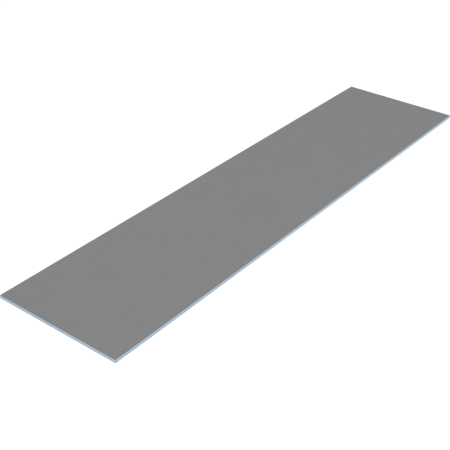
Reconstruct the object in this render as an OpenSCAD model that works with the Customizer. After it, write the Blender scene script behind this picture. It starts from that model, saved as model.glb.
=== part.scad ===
// Foam backer board, lying flat: a rigid foam core bonded between two thin mortar facings.
// The length runs along X and the width along Y, and the origin is the middle of the underside.
// Each facing holds a woven glass mesh pressed in while the mortar was wet, so it is one slab.
// All cut edges are square, with the facings flush with the core all round.

/* [Board] */
// Length of the board
board_length = 2500; // [600:50:3000]
// Width of the board
board_width = 600; // [300:10:1250]
// Thickness of the board, facings included
board_thickness = 12.5; // [6:0.5:80]

/* [Facings] */
// Thickness of the mortar facing on top
top_facing_thickness = 0.7; // [0.3:0.1:2]
// Thickness of the mortar facing underneath
bottom_facing_thickness = 0.7; // [0.3:0.1:2]

/* [Hidden] */

core_bottom = bottom_facing_thickness;
core_top = board_thickness - top_facing_thickness;
foam_blue = [0.69, 0.78, 0.86];
mortar_grey = [0.52, 0.52, 0.52];

// One layer of the board, cut square at the board's outline, from height z0 up to z1
module layer(z0, z1) {
    translate([-board_length / 2, -board_width / 2, z0])
        cube([board_length, board_width, z1 - z0]);
}

// Extruded foam slab, bonded to a facing over the whole of both broad sides
module foam_core() {
    color(foam_blue)
        layer(core_bottom, core_top);
}

// Mortar skin that tiles are laid on
module top_facing() {
    color(mortar_grey)
        layer(core_top, board_thickness);
}

// Mortar skin that is bedded on the wall or floor
module bottom_facing() {
    color(mortar_grey)
        layer(0, core_bottom);
}

foam_core();
top_facing();
bottom_facing();
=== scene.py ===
import math

import bpy
import numpy as np
from mathutils import Matrix, Vector, noise


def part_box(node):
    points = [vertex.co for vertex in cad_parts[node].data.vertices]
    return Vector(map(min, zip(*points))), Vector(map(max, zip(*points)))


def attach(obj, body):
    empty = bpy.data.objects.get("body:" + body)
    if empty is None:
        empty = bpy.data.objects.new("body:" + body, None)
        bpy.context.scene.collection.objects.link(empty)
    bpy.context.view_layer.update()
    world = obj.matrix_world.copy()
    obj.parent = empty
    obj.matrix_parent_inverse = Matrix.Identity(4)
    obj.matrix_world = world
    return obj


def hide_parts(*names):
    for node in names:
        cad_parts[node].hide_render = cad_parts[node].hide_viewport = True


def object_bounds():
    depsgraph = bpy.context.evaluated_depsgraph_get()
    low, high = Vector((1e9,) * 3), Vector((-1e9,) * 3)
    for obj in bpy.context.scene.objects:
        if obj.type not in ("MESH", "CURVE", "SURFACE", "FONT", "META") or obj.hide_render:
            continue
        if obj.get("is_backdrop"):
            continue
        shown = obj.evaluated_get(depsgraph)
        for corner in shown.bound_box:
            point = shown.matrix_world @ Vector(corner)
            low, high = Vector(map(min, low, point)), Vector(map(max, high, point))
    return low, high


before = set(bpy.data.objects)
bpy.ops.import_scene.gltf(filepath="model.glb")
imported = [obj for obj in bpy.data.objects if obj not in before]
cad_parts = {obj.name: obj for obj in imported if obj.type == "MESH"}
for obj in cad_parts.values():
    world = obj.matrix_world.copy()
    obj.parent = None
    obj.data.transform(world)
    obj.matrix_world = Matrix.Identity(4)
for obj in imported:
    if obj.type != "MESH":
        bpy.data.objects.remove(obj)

# ---------------------------------------------------------------- sizes, in metres
MM = 0.001
CAD_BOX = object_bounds()
CORE_LOW, CORE_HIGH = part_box("foam_core")
TOP_LOW, TOP_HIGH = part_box("top_facing")
BOTTOM_LOW, BOTTOM_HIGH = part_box("bottom_facing")
LENGTH = CORE_HIGH.x - CORE_LOW.x
WIDTH = CORE_HIGH.y - CORE_LOW.y
MIDDLE_HEIGHT = (TOP_HIGH.z + BOTTOM_LOW.z) / 2

# Glass mesh cast into each facing: its threads show as low mortar ridges.
THREAD_PITCH = 5.0 * MM
THREAD_DEPTH = 0.3 * MM
RIDGE_RISE = 0.24 * MM
RIDGE_ROOT = 0.18 * MM
RIDGE_FOOT = 2.0 * MM
RIDGE_CROWN = 0.5 * MM
RIDGE_END_GAP = 0.4 * MM
RIDGE_FADE = 0.04 * MM
FADE_PATCH = (45 * MM, 12 * MM, 1.0)
WARP_DROP = 0.015 * MM
THREAD_SWAY = 0.5 * MM
SWAY_PATCH = (170 * MM, 170 * MM, 1.0)
THREAD_STRAY = 0.15 * MM
STRAY_PATCH = (70 * MM, 2 * MM, 1.0)
TRUE_ENDS = 60 * MM
WARP_SEGMENTS = 68
WEFT_SEGMENTS = 18
# A thread's cut end is whole up to the first of each pair and gone at the second.
THREAD_END_WAVE = (-0.97, -0.9)
THREAD_END_RISE = (0.1 * MM, 0.18 * MM)

# Facings: points this far apart round the edge, and cells of so many steps inside it.
FACING_STEP = 2.5 * MM
SKIN_CELL = 5
BONDED_CELL = 20
SKIN_SWELL = 0.03 * MM
SWELL_LENGTH = 150 * MM
MORTAR_WAVER = 0.08 * MM
MORTAR_WAVER_LENGTH = 45 * MM
CRUMB_LENGTH = 6 * MM
CRUMB_LEVEL = 0.45
ARRIS = 0.12 * MM
CHIP_DEPTH = 0.35 * MM
CHIP_LENGTH = 12 * MM
FACING_CREASE = math.radians(25)
TOP_SEED = 5
BOTTOM_SEED = 11

# Foam core: a saw left its cut edge a little further in than the mortar's.
FOAM_STEP = 1.25 * MM
FOAM_BONDED_CELL = 40
FOAM_ROWS = 10
FOAM_INSET = 0.12 * MM
FOAM_HOLLOW = 0.05 * MM
FOAM_WAVER = 0.06 * MM
FOAM_WAVER_LENGTH = 70 * MM
SAW_MARK = 0.03 * MM
SAW_MARK_PATCH = (2.6 * MM, 2.6 * MM, 30 * MM)
CRUMBLE_LENGTH = 2 * MM
FOAM_DENT = 0.35 * MM
DENT_LENGTH = 9 * MM
FOAM_CREASE = math.radians(60)

# ---------------------------------------------------------------- colours, linear
MORTAR_GREY = (0.215, 0.215, 0.215)
# The sawn mortar's pale tone: partly foam dust, partly a painted highlight.
MORTAR_DUST_AND_HIGHLIGHT = (0.36, 0.45, 0.545)
THREAD_END_WHITE = (0.66, 0.67, 0.66)
FOAM_BLUE = (0.455, 0.592, 0.722)
FLOOR_WHITE = (0.9, 0.9, 0.9)

# ---------------------------------------------------------------- roughness and fine relief
MORTAR_ROUGHNESS = 0.9
FOAM_ROUGHNESS = 0.78
SAND_DEPTH = 0.16 * MM
CRUMB_DEPTH = 0.12 * MM
SAWN_DEPTH = 0.1 * MM
FOAM_CELL = 0.22 * MM
SAW_STREAK = (1.0, 1.0, 0.06)


# ---------------------------------------------------------------- node helpers
def add(tree, kind, inputs, **settings):
    """A new node with its settings; each input takes a value or a socket to link from."""
    made = tree.nodes.new(kind)
    for name, value in settings.items():
        setattr(made, name, value)
    for key, value in inputs.items():
        if isinstance(value, bpy.types.NodeSocket):
            tree.links.new(value, made.inputs[key])
        else:
            made.inputs[key].default_value = value
    return made


def maths(tree, operation, *values):
    """The result of one Math node."""
    return add(tree, "ShaderNodeMath", dict(enumerate(values)), operation=operation).outputs[0]


def vector_maths(tree, operation, *values):
    """The result of one Vector Math node that gives a vector."""
    made = add(tree, "ShaderNodeVectorMath", dict(enumerate(values)), operation=operation)
    return made.outputs[0]


def scaled(tree, vector, factor):
    """A vector or colour times a factor."""
    inputs = {0: vector, "Scale": factor}
    return add(tree, "ShaderNodeVectorMath", inputs, operation="SCALE").outputs[0]


def vector_of(tree, **axes):
    """A vector from values or sockets for some of X, Y and Z."""
    return add(tree, "ShaderNodeCombineXYZ", axes).outputs[0]


def fading(tree, value, full, none):
    """1 where the value is at full, falling to 0 where it is at none."""
    limits = {"Value": value, "From Min": full, "From Max": none, "To Min": 1.0, "To Max": 0.0}
    return add(tree, "ShaderNodeMapRange", limits).outputs[0]


def tree_sockets(tree, inputs, outputs):
    """Declares a tree's sockets, and returns what it is given and the node it puts out through."""
    for name, (kind, default) in inputs.items():
        socket = tree.interface.new_socket(name=name, in_out="INPUT", socket_type=kind)
        if default is not None:
            socket.default_value = default
    for name, kind in outputs.items():
        tree.interface.new_socket(name=name, in_out="OUTPUT", socket_type=kind)
    return tree.nodes.new("NodeGroupInput").outputs, tree.nodes.new("NodeGroupOutput")


# ---------------------------------------------------------------- shared finishes
def patchy(tree, place, size, detail, roughness=0.5):
    """Noise from 0 to 1 in patches of about the size."""
    scale = maths(tree, "DIVIDE", 1.0, size)
    inputs = {"Vector": place, "Scale": scale, "Detail": detail, "Roughness": roughness}
    return add(tree, "ShaderNodeTexNoise", inputs).outputs[0]


def swing(tree, value, contrast):
    """A tone that swings round 1 as the value swings round its middle, a half."""
    centred = maths(tree, "SUBTRACT", value, 0.5)
    return maths(tree, "MULTIPLY_ADD", centred, maths(tree, "MULTIPLY", contrast, 2.0), 1.0)


def fine_grain():
    """Fine speckle, as of sand or foam cells: a tone round 1 and a height round 0."""
    tree = bpy.data.node_groups.new("fine_grain", "ShaderNodeTree")
    inputs = {
        "Vector": ("NodeSocketVector", None),
        "Grain Size": ("NodeSocketFloat", 1 * MM),
        "Contrast": ("NodeSocketFloat", 0.1),
    }
    outputs = {"Tone": "NodeSocketFloat", "Height": "NodeSocketFloat"}
    given, out = tree_sockets(tree, inputs, outputs)
    speckle = patchy(tree, given["Vector"], given["Grain Size"], detail=3.0, roughness=0.65)
    tree.links.new(swing(tree, speckle, given["Contrast"]), out.inputs["Tone"])
    tree.links.new(maths(tree, "SUBTRACT", speckle, 0.5), out.inputs["Height"])
    return tree


def soft_mottle():
    """Broad soft patches, each as long, wide and high as Patch Size: a tone round 1."""
    tree = bpy.data.node_groups.new("soft_mottle", "ShaderNodeTree")
    inputs = {
        "Vector": ("NodeSocketVector", None),
        "Patch Size": ("NodeSocketVector", (0.1, 0.1, 0.1)),
        "Contrast": ("NodeSocketFloat", 0.02),
    }
    given, out = tree_sockets(tree, inputs, {"Tone": "NodeSocketFloat"})
    spread = vector_maths(tree, "DIVIDE", given["Vector"], given["Patch Size"])
    cloud = patchy(tree, spread, size=1.0, detail=2.0)
    tree.links.new(swing(tree, cloud, given["Contrast"]), out.inputs["Tone"])
    return tree


def small_pits():
    """Scattered pits with ragged rims, as of air bubbles or torn cells: a mask, 1 in a pit."""
    tree = bpy.data.node_groups.new("small_pits", "ShaderNodeTree")
    inputs = {
        "Vector": ("NodeSocketVector", None),
        "Spacing": ("NodeSocketFloat", 4 * MM),
        "Pit Size": ("NodeSocketFloat", 0.1),
        "Share": ("NodeSocketFloat", 0.3),
    }
    given, out = tree_sockets(tree, inputs, {"Mask": "NodeSocketFloat"})
    scale = maths(tree, "DIVIDE", 1.0, given["Spacing"])
    # Noise an eighth of the spacing in size shifts each place, which makes the rims ragged.
    inputs = {"Vector": given["Vector"], "Scale": maths(tree, "MULTIPLY", scale, 8.0)}
    ragged = add(tree, "ShaderNodeTexNoise", inputs).outputs["Color"]
    shift = scaled(tree, ragged, maths(tree, "MULTIPLY", given["Spacing"], 0.12))
    inputs = {"Vector": vector_maths(tree, "ADD", given["Vector"], shift), "Scale": scale}
    cells = add(tree, "ShaderNodeTexVoronoi", inputs, feature="F1").outputs
    lot = add(tree, "ShaderNodeSeparateColor", {"Color": cells["Color"]}).outputs
    size = maths(tree, "MULTIPLY", given["Pit Size"], lot["Green"])
    # A pit is at its deepest inside 0.3 of its own size.
    inside = fading(tree, cells["Distance"], maths(tree, "MULTIPLY", size, 0.3), size)
    chosen = maths(tree, "LESS_THAN", lot["Red"], given["Share"])
    tree.links.new(maths(tree, "MULTIPLY", inside, chosen), out.inputs["Mask"])
    return tree


def painted_floor_shade():
    """Painted shade near the floor: a mask, 1 at the underside and patchy as it fades up."""
    tree = bpy.data.node_groups.new("painted_floor_shade", "ShaderNodeTree")
    inputs = {
        "Vector": ("NodeSocketVector", None),
        "Reach": ("NodeSocketFloat", 1 * MM),
        "Patch Size": ("NodeSocketFloat", 4 * MM),
    }
    given, out = tree_sockets(tree, inputs, {"Mask": "NodeSocketFloat"})
    up = add(tree, "ShaderNodeSeparateXYZ", {0: given["Vector"]}).outputs["Z"]
    patches = patchy(tree, given["Vector"], given["Patch Size"], detail=3.0)
    limit = maths(tree, "MULTIPLY", given["Reach"], maths(tree, "ADD", patches, 0.5))
    tree.links.new(fading(tree, up, 0.0, limit), out.inputs["Mask"])
    return tree


def arris_wear_and_highlight():
    """Wear and a painted highlight along the board's outline: a mask, 1 at the arris and patchy as it
    fades inwards.
    """
    tree = bpy.data.node_groups.new("arris_wear_and_highlight", "ShaderNodeTree")
    inputs = {
        "Vector": ("NodeSocketVector", None),
        "Reach": ("NodeSocketFloat", 1 * MM),
        "Patch Size": ("NodeSocketFloat", 10 * MM),
    }
    given, out = tree_sockets(tree, inputs, {"Mask": "NodeSocketFloat"})
    sides = add(tree, "ShaderNodeSeparateXYZ", {0: given["Vector"]}).outputs
    along = maths(tree, "SUBTRACT", LENGTH / 2, maths(tree, "ABSOLUTE", sides["X"]))
    across = maths(tree, "SUBTRACT", WIDTH / 2, maths(tree, "ABSOLUTE", sides["Y"]))
    inward = maths(tree, "MINIMUM", along, across)
    patches = patchy(tree, given["Vector"], given["Patch Size"], detail=3.0)
    limit = maths(tree, "MULTIPLY", given["Reach"], maths(tree, "MULTIPLY", patches, 2.0))
    tree.links.new(fading(tree, inward, 0.0, limit), out.inputs["Mask"])
    return tree


FINE_GRAIN = fine_grain()
SOFT_MOTTLE = soft_mottle()
SMALL_PITS = small_pits()
PAINTED_FLOOR_SHADE = painted_floor_shade()
ARRIS_WEAR_AND_HIGHLIGHT = arris_wear_and_highlight()


def placed(tree, effect, inputs):
    """One of the shared finishes in a material, with that material's own values."""
    return add(tree, "ShaderNodeGroup", inputs, node_tree=effect).outputs


def new_material(name, specular_level):
    """A material with its shader and the piece's own coordinates."""
    material = bpy.data.materials.new(name)
    material.use_nodes = True
    tree = material.node_tree
    shader = tree.nodes["Principled BSDF"]
    shader.inputs["Specular IOR Level"].default_value = specular_level
    return material, tree, shader, tree.nodes.new("ShaderNodeTexCoord").outputs["Object"]


def toned(tree, colour, *tones):
    """A colour multiplied by each tone in turn."""
    whole = tones[0]
    for tone in tones[1:]:
        whole = maths(tree, "MULTIPLY", whole, tone)
    return scaled(tree, colour, whole)


def lightened(tree, mask, amount):
    """A tone of 1 that rises by the amount inside the mask."""
    return maths(tree, "MULTIPLY_ADD", mask, amount, 1.0)


def darkened(tree, mask, amount):
    """A tone of 1 that falls by the amount inside the mask."""
    return lightened(tree, mask, -amount)


def raised(tree, height, relief, share):
    """A height raised by a share of another relief, or sunk where the share is below 0."""
    return maths(tree, "MULTIPLY_ADD", relief, share, height)


def add_bump(tree, shader, height, depth):
    """Feeds the shader's Normal from a height, which counts in depths."""
    made = add(tree, "ShaderNodeBump", {"Height": height, "Distance": depth})
    tree.links.new(made.outputs[0], shader.inputs["Normal"])


# ---------------------------------------------------------------- materials
def height_from_middle(tree, place):
    """How far a point is above or below the board's middle height."""
    up = add(tree, "ShaderNodeSeparateXYZ", {0: place}).outputs["Z"]
    return maths(tree, "ABSOLUTE", maths(tree, "SUBTRACT", up, MIDDLE_HEIGHT))


def mortar_skin():
    """Grey polymer mortar, drawn thin over the glass mesh: sandy, dry and matte."""
    material, tree, shader, place = new_material("mortar_skin", specular_level=0.25)
    sand = placed(
        tree, FINE_GRAIN, {"Vector": place, "Grain Size": 0.5 * MM, "Contrast": 0.4}
    )
    grit = placed(
        tree, FINE_GRAIN, {"Vector": place, "Grain Size": 1.6 * MM, "Contrast": 0.15}
    )
    drag = placed(
        tree,
        SOFT_MOTTLE,
        {"Vector": place, "Patch Size": (0.9, 0.012, 0.05), "Contrast": 0.012},
    )["Tone"]
    clouds = placed(
        tree,
        SOFT_MOTTLE,
        {"Vector": place, "Patch Size": (0.12, 0.07, 0.05), "Contrast": 0.012},
    )["Tone"]
    bubbles = placed(
        tree,
        SMALL_PITS,
        {"Vector": place, "Spacing": 4 * MM, "Pit Size": 0.08, "Share": 0.3},
    )["Mask"]
    wear_and_highlight = placed(
        tree, ARRIS_WEAR_AND_HIGHLIGHT, {"Vector": place, "Reach": 1.2 * MM, "Patch Size": 8 * MM}
    )["Mask"]
    crown_height = TOP_HIGH.z - MIDDLE_HEIGHT
    height = height_from_middle(tree, place)
    crown = fading(tree, height, crown_height, crown_height - RIDGE_ROOT)
    wear = placed(
        tree,
        SOFT_MOTTLE,
        {"Vector": place, "Patch Size": (0.16, 0.04, 0.05), "Contrast": 0.8},
    )["Tone"]
    colour = toned(
        tree,
        MORTAR_GREY,
        sand["Tone"],
        grit["Tone"],
        drag,
        clouds,
        lightened(tree, maths(tree, "MULTIPLY", crown, wear), amount=0.16),
        # Painted shade: each pit is darker, as shade falls in it.
        darkened(tree, bubbles, amount=0.35),
        # Wear and a painted highlight: the skin is lighter along the arris.
        lightened(tree, wear_and_highlight, amount=0.25),
    )
    tree.links.new(colour, shader.inputs["Base Color"])
    roughness = maths(tree, "MULTIPLY", grit["Tone"], MORTAR_ROUGHNESS)
    tree.links.new(roughness, shader.inputs["Roughness"])
    grains = raised(tree, sand["Height"], grit["Height"], share=1.5)
    add_bump(tree, shader, raised(tree, grains, bubbles, share=-1.5), SAND_DEPTH)
    return material


def thread_ends(tree, place):
    """A mask of the glass threads' cut ends, one at each pitch along a facing's edge, uneven."""
    axes = add(tree, "ShaderNodeSeparateXYZ", {0: place}).outputs
    waves = []
    for axis in ("X", "Y"):
        turn = maths(tree, "MULTIPLY", axes[axis], 2 * math.pi / THREAD_PITCH)
        waves.append(maths(tree, "COSINE", turn))
    # The wave is at its lowest, -1, where a thread lies.
    near_thread = fading(tree, maths(tree, "MINIMUM", *waves), *THREAD_END_WAVE)
    thread_height = TOP_HIGH.z - THREAD_DEPTH - MIDDLE_HEIGHT
    off = maths(tree, "SUBTRACT", height_from_middle(tree, place), thread_height)
    level = fading(tree, maths(tree, "ABSOLUTE", off), *THREAD_END_RISE)
    bared = placed(
        tree, FINE_GRAIN, {"Vector": place, "Grain Size": THREAD_PITCH, "Contrast": 1.2}
    )["Tone"]
    return maths(tree, "MULTIPLY", maths(tree, "MULTIPLY", near_thread, level), bared)


def cut_mortar():
    """Sawn edge of a facing: mortar dusted with foam and partly paled as a painted highlight, with
    the glass threads' ends in it, and painted shade near the floor.
    """
    material, tree, shader, place = new_material("cut_mortar", specular_level=0.2)
    # Painted shade: the cut edge darkens towards the floor, by up to 0.82 at the underside.
    painted_shade = placed(
        tree, PAINTED_FLOOR_SHADE, {"Vector": place, "Reach": 1.6 * MM, "Patch Size": 5 * MM}
    )["Mask"]
    crumbs = placed(
        tree, FINE_GRAIN, {"Vector": place, "Grain Size": 0.3 * MM, "Contrast": 0.3}
    )
    fibres = placed(
        tree, FINE_GRAIN, {"Vector": place, "Grain Size": 0.1 * MM, "Contrast": 0.5}
    )["Tone"]
    ends = maths(tree, "MINIMUM", thread_ends(tree, place), 1.0)
    # Pale from foam dust and partly from a painted highlight.
    mortar = toned(tree, MORTAR_DUST_AND_HIGHLIGHT, crumbs["Tone"], darkened(tree, ends, amount=1.0))
    glass = toned(tree, THREAD_END_WHITE, fibres, ends)
    unshaded = vector_maths(tree, "ADD", mortar, glass)
    shaded = toned(tree, unshaded, darkened(tree, painted_shade, amount=0.82))
    tree.links.new(shaded, shader.inputs["Base Color"])
    roughness = maths(tree, "MULTIPLY", crumbs["Tone"], MORTAR_ROUGHNESS)
    tree.links.new(roughness, shader.inputs["Roughness"])
    add_bump(tree, shader, crumbs["Height"], CRUMB_DEPTH)
    return material


def opened_cells(tree, place, size, contrast):
    """Foam cells cut open by the saw: a tone for each cell, and each one's cup as a height."""
    inputs = {"Vector": place, "Scale": 1.0 / size}
    cells = add(tree, "ShaderNodeTexVoronoi", inputs, feature="F1").outputs
    lot = add(tree, "ShaderNodeSeparateColor", {"Color": cells["Color"]}).outputs["Red"]
    return swing(tree, lot, contrast), cells["Distance"]


def sawn_foam():
    """Pale blue extruded foam, sawn across: tiny closed cells, with upright saw marks, painted shade
    in its torn pits and painted shade towards the floor.
    """
    material, tree, shader, place = new_material("sawn_foam", specular_level=0.3)
    cell_tone, cup = opened_cells(tree, place, FOAM_CELL, contrast=0.05)
    clumps = placed(
        tree, FINE_GRAIN, {"Vector": place, "Grain Size": 0.9 * MM, "Contrast": 0.1}
    )
    upright = vector_maths(tree, "MULTIPLY", place, SAW_STREAK)
    saw = placed(
        tree, FINE_GRAIN, {"Vector": upright, "Grain Size": 0.9 * MM, "Contrast": 0.06}
    )
    clouds = placed(
        tree,
        SOFT_MOTTLE,
        {"Vector": place, "Patch Size": (0.05, 0.05, 0.006), "Contrast": 0.03},
    )["Tone"]
    torn = placed(
        tree,
        SMALL_PITS,
        {"Vector": place, "Spacing": 2.2 * MM, "Pit Size": 0.16, "Share": 0.4},
    )["Mask"]
    painted_shade = placed(
        tree, PAINTED_FLOOR_SHADE, {"Vector": place, "Reach": 8 * MM, "Patch Size": 9 * MM}
    )["Mask"]
    colour = toned(
        tree,
        FOAM_BLUE,
        cell_tone,
        clumps["Tone"],
        saw["Tone"],
        clouds,
        # Painted shade: each torn pit is darker, as shade falls in it.
        darkened(tree, torn, amount=0.12),
        # Painted shade: the foam's edge darkens towards the floor.
        darkened(tree, painted_shade, amount=0.34),
    )
    tree.links.new(colour, shader.inputs["Base Color"])
    roughness = maths(tree, "MULTIPLY", saw["Tone"], FOAM_ROUGHNESS)
    tree.links.new(roughness, shader.inputs["Roughness"])
    marks = raised(tree, clumps["Height"], saw["Height"], share=1.2)
    cells = raised(tree, marks, cup, share=0.4)
    add_bump(tree, shader, raised(tree, cells, torn, share=-1.2), SAWN_DEPTH)
    return material


MORTAR_SKIN = mortar_skin()
CUT_MORTAR = cut_mortar()
SAWN_FOAM = sawn_foam()


# ---------------------------------------------------------------- the plan of a layer
class Plan:
    """The board's outline as a ring of points, anticlockwise, and a grid of cells inside it."""

    def __init__(self, step):
        self.long_steps = round(LENGTH / step)
        self.wide_steps = round(WIDTH / step)
        xs = np.linspace(CORE_LOW.x, CORE_HIGH.x, self.long_steps + 1)
        ys = np.linspace(CORE_LOW.y, CORE_HIGH.y, self.wide_steps + 1)
        front = [(x, ys[0]) for x in xs[:-1]]
        far_end = [(xs[-1], y) for y in ys[:-1]]
        back = [(x, ys[-1]) for x in xs[:0:-1]]
        near_end = [(xs[0], y) for y in ys[:0:-1]]
        self.ring = np.array(front + far_end + back + near_end)

    def drawn_in(self, depth, height):
        """The ring's points, each moved in from the edge by its depth, at one height."""
        half = np.array([LENGTH, WIDTH]) / 2
        reach = np.minimum(np.abs(self.ring), half - np.reshape(depth, (-1, 1)))
        heights = np.broadcast_to(height, len(self.ring))
        return np.column_stack([np.sign(self.ring) * reach, heights])

    def inner_points(self, cell, height):
        """The corners of the cells that lie inside the ring, column by column, at one height."""
        xs = np.linspace(CORE_LOW.x, CORE_HIGH.x, self.long_steps // cell + 1)[1:-1]
        ys = np.linspace(CORE_LOW.y, CORE_HIGH.y, self.wide_steps // cell + 1)[1:-1]
        return np.array([(x, y, height) for x in xs for y in ys])

    def ring_number(self, i, j):
        """Which ring point is i steps along and j steps across, or None inside the ring."""
        if j == 0:
            return i
        if i == self.long_steps:
            return self.long_steps + j
        if j == self.wide_steps:
            return 2 * self.long_steps + self.wide_steps - i
        if i == 0:
            return 2 * (self.long_steps + self.wide_steps) - j
        return None

    def cells(self, cell, ring_start, inner_start):
        """Each cell's corners, anticlockwise, with every ring point where it meets the ring."""
        columns = self.long_steps // cell
        rows = self.wide_steps // cell
        total = len(self.ring)
        for i in range(columns):
            for j in range(rows):
                corners = [(i, j), (i + 1, j), (i + 1, j + 1), (i, j + 1)]
                on_ring = [j == 0, i + 1 == columns, j + 1 == rows, i == 0]
                face = []
                for (column, row), outer in zip(corners, on_ring):
                    number = self.ring_number(column * cell, row * cell)
                    if number is None:
                        face.append(inner_start + (column - 1) * (rows - 1) + row - 1)
                        continue
                    steps = cell if outer else 1
                    face += [ring_start + (number + k) % total for k in range(steps)]
                yield face


# How far apart two seeds lie in the noise, in wavelengths.
SEED_SPACING = 17.3


def wander(points, wavelength, seed):
    """Smooth noise from -1 to 1 at each point, the same on every run."""
    waves = np.asarray(points) / wavelength
    return np.array([noise.noise(Vector((x, y, z + SEED_SPACING * seed))) for x, y, z in waves])


def scattered(points, wavelength, seed, gain, rarity):
    """0 at most points, rising to 1 in spots: a higher rarity leaves fewer of them."""
    return np.clip(gain * wander(points, wavelength, seed) - rarity, 0, 1)


# ---------------------------------------------------------------- the texture map, laid out for baking
# The map is laid out in map cells, 1024 to a side. From the bottom up, a facing has its outer side
# in two rows of two tiles, its cut edge in a band, and in another band what never shows. The foam
# has no tiles, so its edge band takes their room as well. A thread pitch is four map cells, and
# the gap at a tile's side sets each ridge's crown on the middle of a map cell.
MAP_NAME = "OFBake"
MAP_CELL = 1 / 1024
MAP_GAP = 3.5 * MAP_CELL
TILES_LONG = 4
MAP_PITCH = 4 * MAP_CELL
TILE_SCALE = MAP_PITCH / THREAD_PITCH
TILE_ROW = WIDTH * TILE_SCALE + MAP_PITCH
EDGE_ROW_GAP = MAP_GAP / 3
FACING_BAND_HEIGHT = 44 * MAP_CELL
FACING_EDGE_START = MAP_GAP + 2 * TILE_ROW
FACING_EDGE_BAND = (FACING_EDGE_START, FACING_EDGE_START + FACING_BAND_HEIGHT)
FACING_EDGE_ROWS = 10
FOAM_EDGE_BAND = (MAP_GAP, FACING_EDGE_BAND[1] - MAP_GAP)
FOAM_EDGE_ROWS = 20
HIDDEN_BAND = (FACING_EDGE_BAND[1] + MAP_CELL, 1 - MAP_CELL)


def tile_places(points, middles):
    """Map places on a facing's outer side, cut across into four tiles that lie two by two."""
    tile = np.floor((middles - CORE_LOW.x) / LENGTH * TILES_LONG)
    start = CORE_LOW.x + tile * LENGTH / TILES_LONG
    u = MAP_GAP + (points[:, 0] - start) * TILE_SCALE + tile % 2 * 0.5
    v = MAP_GAP + (points[:, 1] - CORE_LOW.y) * TILE_SCALE + tile // 2 * TILE_ROW
    return np.column_stack([u, v])


def hidden_places(points, middles):
    """Map places on a side that never shows: the hidden band, with the foam's top in its far half."""
    low, high = HIDDEN_BAND
    half = np.where(points[:, 2] > MIDDLE_HEIGHT, 0.5, 0.0)
    u = MAP_GAP + (points[:, 0] - CORE_LOW.x) / LENGTH * (0.5 - 2 * MAP_GAP) + half
    v = low + (points[:, 1] - CORE_LOW.y) / WIDTH * (high - low)
    return np.column_stack([u, v])


def edge_places(step, total, share_up, band, rows):
    """Map places of both ends of one step along the cut edge, which is laid out in rows."""
    per_row = total // rows
    row = step // per_row
    pitch = (band[1] - band[0]) / rows
    v = band[0] + row * pitch + share_up * (pitch - EDGE_ROW_GAP)
    along = step - row * per_row
    return [(MAP_GAP + k / per_row * (1 - 2 * MAP_GAP), v) for k in (along, along + 1)]


# ---------------------------------------------------------------- slabs with a worked edge
class Slab:
    """A closed layer: rings of points one above another, closed by cells below and above."""

    def __init__(self, plan, rings, edge_finish, edge_band, edge_rows):
        self.plan = plan
        self.points = np.concatenate(rings)
        self.faces = []
        self.finishes = []
        self.places = []
        total = len(plan.ring)
        low, high = rings[0][0, 2], rings[-1][0, 2]
        shares = [(ring[:, 2].mean() - low) / (high - low) for ring in rings]
        for level in range(len(rings) - 1):
            start = level * total
            for step in range(total):
                here = start + step
                after = start + (step + 1) % total
                self.faces.append((here, after, after + total, here + total))
                self.finishes.append(edge_finish)
                below = edge_places(step, total, shares[level], edge_band, edge_rows)
                above = edge_places(step, total, shares[level + 1], edge_band, edge_rows)
                self.places += [below[0], below[1], above[1], above[0]]

    def close(self, cell, ring_start, inner, upward, finish, places_of):
        """Closes one side of the slab with cells of one finish, laid on the map by places_of."""
        inner_start = len(self.points)
        self.points = np.concatenate([self.points, inner])
        for face in self.plan.cells(cell, ring_start, inner_start):
            corners = face if upward else face[::-1]
            at = self.points[corners]
            middle = (at[:, 0].min() + at[:, 0].max()) / 2
            self.faces.append(tuple(corners))
            self.finishes.append(finish)
            self.places += places_of(at, middle).tolist()

    def mesh(self, name):
        """The slab as a mesh with its materials and its map."""
        made = bpy.data.meshes.new(name)
        made.from_pydata(self.points.tolist(), [], self.faces)
        numbers = {finish: k for k, finish in enumerate(dict.fromkeys(self.finishes))}
        for finish in numbers:
            made.materials.append(finish)
        made.polygons.foreach_set("material_index", [numbers[finish] for finish in self.finishes])
        layer = made.uv_layers.new(name=MAP_NAME)
        layer.uv.foreach_set("vector", np.array(self.places, np.float32).ravel())
        return made


def new_piece(name, mesh, node, crease):
    """A finished piece, sharp past the crease angle, that stands for its CAD node."""
    mesh.shade_smooth()
    mesh.set_sharp_from_angle(angle=crease)
    piece = bpy.data.objects.new(name, mesh)
    bpy.context.scene.collection.objects.link(piece)
    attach(piece, "root")
    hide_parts(node)


# ---------------------------------------------------------------- foam core
def sawn_depth(points, share_up):
    """How far in from the outline the saw left the foam at each point of its edge."""
    hollow = FOAM_HOLLOW * math.sin(math.pi * share_up)
    waver = FOAM_WAVER * wander(points, FOAM_WAVER_LENGTH, seed=1)
    marks = SAW_MARK * wander(points, SAW_MARK_PATCH, seed=2)
    crumble = SAW_MARK * wander(points, CRUMBLE_LENGTH, seed=3)
    dents = FOAM_DENT * scattered(points, DENT_LENGTH, seed=4, gain=2.5, rarity=1.0) ** 2
    return np.maximum(FOAM_INSET + hollow + waver + marks + crumble + dents, 0.0)


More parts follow.
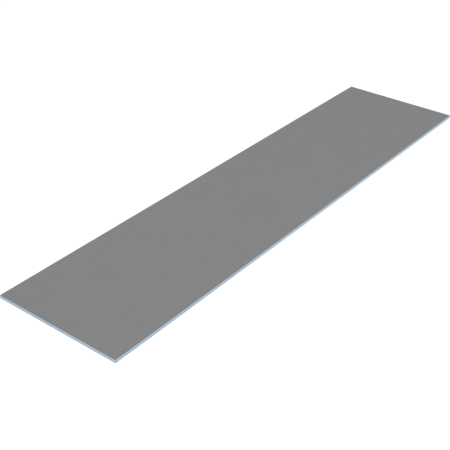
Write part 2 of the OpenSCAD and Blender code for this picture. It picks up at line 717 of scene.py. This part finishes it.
def foam_core_slab():
    """The rigid foam between the facings, with its sawn edge."""
    plan = Plan(FOAM_STEP)
    rings = []
    for row in range(FOAM_ROWS + 1):
        share_up = row / FOAM_ROWS
        height = CORE_LOW.z + share_up * (CORE_HIGH.z - CORE_LOW.z)
        depth = sawn_depth(plan.drawn_in(0.0, height), share_up)
        rings.append(plan.drawn_in(depth, height))
    slab = Slab(plan, rings, SAWN_FOAM, FOAM_EDGE_BAND, FOAM_EDGE_ROWS)
    top_ring = FOAM_ROWS * len(plan.ring)
    under = plan.inner_points(FOAM_BONDED_CELL, CORE_LOW.z)
    slab.close(FOAM_BONDED_CELL, 0, under, False, SAWN_FOAM, hidden_places)
    over = plan.inner_points(FOAM_BONDED_CELL, CORE_HIGH.z)
    slab.close(FOAM_BONDED_CELL, top_ring, over, True, SAWN_FOAM, hidden_places)
    name = "foam_core_slab"
    new_piece(name, slab.mesh(name), "foam_core", FOAM_CREASE)


foam_core_slab()


# ---------------------------------------------------------------- relief of the glass mesh
def thread_line(tree, given, run, segments):
    """One straight thread along X, cut short of the facing's edge at both ends."""
    gaps = maths(tree, "MULTIPLY", given["End Gap"], 2.0)
    half_run = maths(tree, "MULTIPLY", maths(tree, "SUBTRACT", run, gaps), 0.5)
    start = vector_of(tree, X=maths(tree, "MULTIPLY", half_run, -1.0))
    ends = {"Start": start, "End": vector_of(tree, X=half_run)}
    line = add(tree, "GeometryNodeCurvePrimitiveLine", ends).outputs[0]
    inputs = {"Curve": line, "Count": segments + 1}
    return add(tree, "GeometryNodeResampleCurve", inputs).outputs[0]


def thread_row(tree, given, spread, thread):
    """Copies of a thread side by side, a pitch apart, that fill the spread along Y."""
    pitch = given["Pitch"]
    share = maths(tree, "DIVIDE", spread, pitch)
    count = add(tree, "FunctionNodeFloatToInt", {0: share}, rounding_mode="ROUND").outputs[0]
    first = maths(tree, "MULTIPLY", maths(tree, "SUBTRACT", spread, pitch), -0.5)
    row = add(
        tree,
        "GeometryNodeMeshLine",
        {
            "Count": count,
            "Start Location": vector_of(tree, Y=first),
            "Offset": vector_of(tree, Y=pitch),
        },
    ).outputs[0]
    inputs = {"Points": row, "Instance": thread}
    copies = add(tree, "GeometryNodeInstanceOnPoints", inputs).outputs[0]
    return add(tree, "GeometryNodeRealizeInstances", {0: copies}).outputs[0]


def drift(tree, place, patch, seed, size):
    """Seeded noise from minus to plus the size, in patches as long and as wide as patch says."""
    inputs = {"Vector": vector_maths(tree, "DIVIDE", place, patch), "W": seed, "Scale": 1.0}
    made = add(tree, "ShaderNodeTexNoise", inputs, noise_dimensions="4D").outputs[0]
    centred = maths(tree, "SUBTRACT", made, 0.5)
    return maths(tree, "MULTIPLY", centred, maths(tree, "MULTIPLY", size, 2.0))


def thread_ridges(tree, given, run, spread, segments, turn, drop):
    """A set of mortar ridges, each along run, that fill spread and are then turned about Z."""
    threads = thread_row(tree, given, spread, thread_line(tree, given, run, segments))
    place = tree.nodes.new("GeometryNodeInputPosition").outputs[0]
    seed = maths(tree, "ADD", given["Seed"], turn)
    sway = drift(tree, place, SWAY_PATCH, seed, given["Sway"])
    stray = drift(tree, place, STRAY_PATCH, seed, given["Stray"])
    fade = drift(tree, place, FADE_PATCH, seed, given["Fade"])
    out_along = maths(tree, "ABSOLUTE", add(tree, "ShaderNodeSeparateXYZ", {0: place}).outputs["X"])
    end = maths(tree, "MULTIPLY", run, 0.5)
    free = fading(tree, out_along, maths(tree, "SUBTRACT", end, TRUE_ENDS), end)
    aside = maths(tree, "MULTIPLY", maths(tree, "ADD", sway, stray), free)
    sunk = maths(tree, "SUBTRACT", maths(tree, "SUBTRACT", fade, given["Fade"]), drop)
    offset = vector_of(tree, Y=aside, Z=sunk)
    inputs = {"Geometry": threads, "Offset": offset}
    laid = add(tree, "GeometryNodeSetPosition", inputs).outputs[0]
    level = add(tree, "GeometryNodeSetCurveNormal", {"Curve": laid}, mode="Z_UP").outputs[0]
    # A level curve carries its section with the section's top side down.
    section = add(
        tree,
        "GeometryNodeCurvePrimitiveQuadrilateral",
        {
            "Height": given["Rise"],
            "Bottom Width": given["Crown Width"],
            "Top Width": given["Foot Width"],
            "Offset": 0.0,
        },
        mode="TRAPEZOID",
    ).outputs[0]
    inputs = {"Curve": level, "Profile Curve": section, "Fill Caps": True}
    ridges = add(tree, "GeometryNodeCurveToMesh", inputs).outputs[0]
    height = maths(tree, "MULTIPLY_ADD", given["Rise"], -0.5, given["Crown Height"])
    inputs = {
        "Geometry": ridges,
        "Translation": vector_of(tree, Z=height),
        "Rotation": (0.0, 0.0, turn),
    }
    return add(tree, "GeometryNodeTransform", inputs).outputs[0]


def mesh_relief():
    """Geometry Nodes that add to a facing the low ridges over its glass mesh, both ways."""
    tree = bpy.data.node_groups.new("glass_mesh_relief", "GeometryNodeTree")
    size = "NodeSocketFloat"
    inputs = {
        "Slab": ("NodeSocketGeometry", None),
        "Length": (size, LENGTH),
        "Width": (size, WIDTH),
        "Pitch": (size, THREAD_PITCH),
        "Crown Height": (size, 0.0),
        "Rise": (size, RIDGE_RISE),
        "Foot Width": (size, RIDGE_FOOT),
        "Crown Width": (size, RIDGE_CROWN),
        "End Gap": (size, RIDGE_END_GAP),
        "Sway": (size, THREAD_SWAY),
        "Stray": (size, THREAD_STRAY),
        "Fade": (size, RIDGE_FADE),
        "Seed": (size, 0.0),
        "Material": ("NodeSocketMaterial", None),
    }
    given, out = tree_sockets(tree, inputs, {"Facing": "NodeSocketGeometry"})
    length, width = given["Length"], given["Width"]
    warps = thread_ridges(tree, given, length, width, WARP_SEGMENTS, 0.0, WARP_DROP)
    wefts = thread_ridges(tree, given, width, length, WEFT_SEGMENTS, math.pi / 2, 0.0)
    ridges = tree.nodes.new("GeometryNodeJoinGeometry")
    tree.links.new(warps, ridges.inputs[0])
    tree.links.new(wefts, ridges.inputs[0])
    real = add(tree, "GeometryNodeRealizeInstances", {0: ridges.outputs[0]}).outputs[0]
    inputs = {"Geometry": real, "Material": given["Material"]}
    finished = add(tree, "GeometryNodeSetMaterial", inputs).outputs[0]
    # Join Geometry puts its last link first, and a bake keeps what comes last, which has to be
    # the ridges and not the skin under them.
    whole = tree.nodes.new("GeometryNodeJoinGeometry")
    tree.links.new(finished, whole.inputs[0])
    tree.links.new(given["Slab"], whole.inputs[0])
    tree.links.new(whole.outputs[0], out.inputs["Facing"])
    return tree


MESH_RELIEF = mesh_relief()


def with_relief(slab_mesh, crown_height, seed):
    """A facing's mesh with the ridges over its glass mesh, as one plain mesh."""
    carrier = bpy.data.objects.new("facing_slab", slab_mesh)
    bpy.context.scene.collection.objects.link(carrier)
    relief = carrier.modifiers.new("glass_mesh_relief", "NODES")
    relief.node_group = MESH_RELIEF
    values = {"Crown Height": crown_height, "Seed": float(seed), "Material": MORTAR_SKIN}
    for socket in MESH_RELIEF.interface.items_tree:
        if socket.name in values:
            relief[socket.identifier] = values[socket.name]
    depsgraph = bpy.context.evaluated_depsgraph_get()
    made = bpy.data.meshes.new_from_object(carrier.evaluated_get(depsgraph))
    # Joining leaves an empty material slot, of no use.
    made.materials.pop(index=made.materials[:].index(None))
    carrier.modifiers.remove(relief)
    bpy.data.objects.remove(carrier)
    bpy.data.meshes.remove(slab_mesh)
    return made


def read(items, name, kind, width=1):
    """One property of a mesh's points, corners or faces, as an array."""
    found = np.empty(len(items) * width, kind)
    items.foreach_get(name, found)
    return found.reshape(-1, width) if width > 1 else found


def lay_ridges_on_map(mesh):
    """Gives the ridges map places: the skin's where they show, or else the hidden band's."""
    layer = mesh.uv_layers[MAP_NAME]
    places = read(layer.uv, "vector", np.float32, 2)
    points = read(mesh.vertices, "co", np.float32, 3)[read(mesh.loops, "vertex_index", np.int32)]
    counts = read(mesh.polygons, "loop_total", np.int32)
    middles = np.repeat(read(mesh.polygons, "center", np.float32, 3)[:, 0], counts)
    downward = np.repeat(read(mesh.polygons, "normal", np.float32, 3)[:, 2] < -0.5, counts)
    bare = ~places.any(axis=1)
    for chosen, places_of in ((bare & ~downward, tile_places), (bare & downward, hidden_places)):
        places[chosen] = places_of(points[chosen], middles[chosen])
    layer.uv.foreach_set("vector", places.ravel())


# ---------------------------------------------------------------- mortar facings
def facing_rings(plan, skin_height, seed):
    """The rings of a facing's cut edge, from its bonded side up to its chipped outer arris."""
    flat = plan.drawn_in(0.0, 0.0)
    cut = MORTAR_WAVER * (1 + wander(flat, MORTAR_WAVER_LENGTH, seed))
    crumbs = MORTAR_WAVER * (1 + wander(flat, CRUMB_LENGTH, seed + 1)) / 2
    chips = scattered(flat, CHIP_LENGTH, seed + 2, gain=2.2, rarity=0.9)
    arris_height = skin_height - ARRIS * (1 + chips)
    return [
        plan.drawn_in(cut, 0.0),
        plan.drawn_in(cut + crumbs, skin_height * CRUMB_LEVEL),
        plan.drawn_in(cut, arris_height),
        plan.drawn_in(cut + ARRIS + crumbs + CHIP_DEPTH * chips, skin_height),
    ]


def mortar_facing(name, node, thickness, seed, place):
    """A facing, built with its outer side up on a bonded side at zero height, and then placed."""
    plan = Plan(FACING_STEP)
    skin_height = thickness - RIDGE_ROOT
    rings = facing_rings(plan, skin_height, seed)
    slab = Slab(plan, rings, CUT_MORTAR, FACING_EDGE_BAND, FACING_EDGE_ROWS)
    bonded = plan.inner_points(BONDED_CELL, 0.0)
    slab.close(BONDED_CELL, 0, bonded, False, MORTAR_SKIN, hidden_places)
    outer_ring = (len(rings) - 1) * len(plan.ring)
    skin = plan.inner_points(SKIN_CELL, 0.0)
    skin[:, 2] = skin_height + SKIN_SWELL * wander(skin, SWELL_LENGTH, seed + 3)
    slab.close(SKIN_CELL, outer_ring, skin, True, MORTAR_SKIN, tile_places)
    mesh = with_relief(slab.mesh(name), thickness, seed)
    mesh.name = name
    lay_ridges_on_map(mesh)
    mesh.transform(place)
    new_piece(name, mesh, node, FACING_CREASE)


TOP_THICKNESS = TOP_HIGH.z - TOP_LOW.z
BOTTOM_THICKNESS = BOTTOM_HIGH.z - BOTTOM_LOW.z
ON_TOP = Matrix.Translation((0.0, 0.0, TOP_LOW.z))
TURNED_OVER = Matrix.Rotation(math.pi, 4, "X")
UNDERNEATH = Matrix.Translation((0.0, 0.0, BOTTOM_HIGH.z)) @ TURNED_OVER
mortar_facing("top_mortar_facing", "top_facing", TOP_THICKNESS, TOP_SEED, ON_TOP)
mortar_facing(
    "bottom_mortar_facing", "bottom_facing", BOTTOM_THICKNESS, BOTTOM_SEED, UNDERNEATH
)

# ---------------------------------------------------------------- floor, light and camera
# Levels are shares of the light at which a white level surface would render as plain white.
SKY_LIGHT = 0.76
SUN_LIGHT = 0.16
SUN_SPREAD = math.radians(70)
SUN_PLACE = Vector((-2.0, -2.2, 4.2))
LAMP_SIZE = 3.0
LAMP_PLACE = Vector((-1.6, -1.4, 3.6))
LAMP_POWER = 17.0
FLOOR_HALF = 60.0
FLOOR_LIFT = 0.2

VIEW_TARGET = Vector((-0.3452, -0.0344, TOP_HIGH.z))
VIEW_AZIMUTH = math.radians(-51.558)
VIEW_ELEVATION = math.radians(31.935)
VIEW_ROLL = math.radians(0.116)
VIEW_DISTANCE = 3.8872
VIEW_LENS = 73.827
VIEW_SENSOR = 36.0
VIEW_SHIFT = 0.012


def background_rays(tree):
    """1 for rays that see the background: from the camera, off gloss or through glass."""
    rays = tree.nodes.new("ShaderNodeLightPath").outputs
    seen = maths(tree, "MAXIMUM", rays["Is Camera Ray"], rays["Is Glossy Ray"])
    return maths(tree, "MAXIMUM", seen, rays["Is Transmission Ray"])


def pale_floor():
    """A white floor that takes the board's shadow."""
    material, tree, shader, _ = new_material("pale_floor", specular_level=0.0)
    shader.inputs["Base Color"].default_value = (*FLOOR_WHITE, 1.0)
    shader.inputs["Roughness"].default_value = 1.0
    shader.inputs["Emission Color"].default_value = (1.0, 1.0, 1.0, 1.0)
    lift = maths(tree, "MULTIPLY", background_rays(tree), FLOOR_LIFT)
    tree.links.new(lift, shader.inputs["Emission Strength"])
    half = FLOOR_HALF
    corners = [(-half, -half, 0.0), (half, -half, 0.0), (half, half, 0.0), (-half, half, 0.0)]
    mesh = bpy.data.meshes.new("floor")
    mesh.from_pydata(corners, [], [(0, 1, 2, 3)])
    mesh.materials.append(material)
    floor = bpy.data.objects.new("floor", mesh)
    bpy.context.scene.collection.objects.link(floor)
    floor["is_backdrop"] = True


def white_world():
    """Even white light from all round, which shows as plain white."""
    world = bpy.data.worlds.new("white_world")
    bpy.context.scene.world = world
    world.use_nodes = True
    tree = world.node_tree
    sky = tree.nodes["Background"]
    sky.inputs["Color"].default_value = (1.0, 1.0, 1.0, 1.0)
    shown = maths(tree, "MULTIPLY_ADD", background_rays(tree), 1.0 - SKY_LIGHT, SKY_LIGHT)
    tree.links.new(shown, sky.inputs["Strength"])


def aimed(name, data, place, target):
    """A lamp or camera at a place, turned to the target."""
    made = bpy.data.objects.new(name, data)
    made.location = place
    made.rotation_euler = (target - place).to_track_quat("-Z", "Y").to_euler()
    bpy.context.scene.collection.objects.link(made)
    return made


def broad_sun():
    """A very broad, even light from above the near left corner."""
    sun = bpy.data.lights.new("broad_sun", "SUN")
    sun.angle = SUN_SPREAD
    sun.energy = SUN_LIGHT * math.pi / SUN_PLACE.normalized().z
    aimed("broad_sun", sun, SUN_PLACE, Vector((0.0, 0.0, 0.0)))


def soft_lamp():
    """One large soft lamp, which leaves the near end a little lighter than the far one."""
    lamp = bpy.data.lights.new("soft_lamp", "AREA")
    lamp.shape = "DISK"
    lamp.size = LAMP_SIZE
    lamp.energy = LAMP_POWER
    aimed("soft_lamp", lamp, LAMP_PLACE, Vector((0.0, 0.0, 0.0)))


def camera():
    """The camera, above the board and off its near left corner."""
    data = bpy.data.cameras.new("camera")
    data.sensor_width = VIEW_SENSOR
    data.lens = VIEW_LENS
    data.shift_x = VIEW_SHIFT
    flat = math.cos(VIEW_ELEVATION)
    back = Vector(
        (
            math.sin(VIEW_AZIMUTH) * flat,
            -math.cos(VIEW_AZIMUTH) * flat,
            math.sin(VIEW_ELEVATION),
        )
    )
    place = VIEW_TARGET + back * VIEW_DISTANCE
    made = aimed("camera", data, place, VIEW_TARGET)
    made.rotation_euler.rotate_axis("Z", VIEW_ROLL)
    bpy.context.scene.camera = made


pale_floor()
white_world()
broad_sun()
soft_lamp()
camera()
bpy.context.scene.view_settings.view_transform = "Standard"

boxes = {"cad": CAD_BOX, "visual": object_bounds()}
{name: [list(corner) for corner in box] for name, box in boxes.items()}
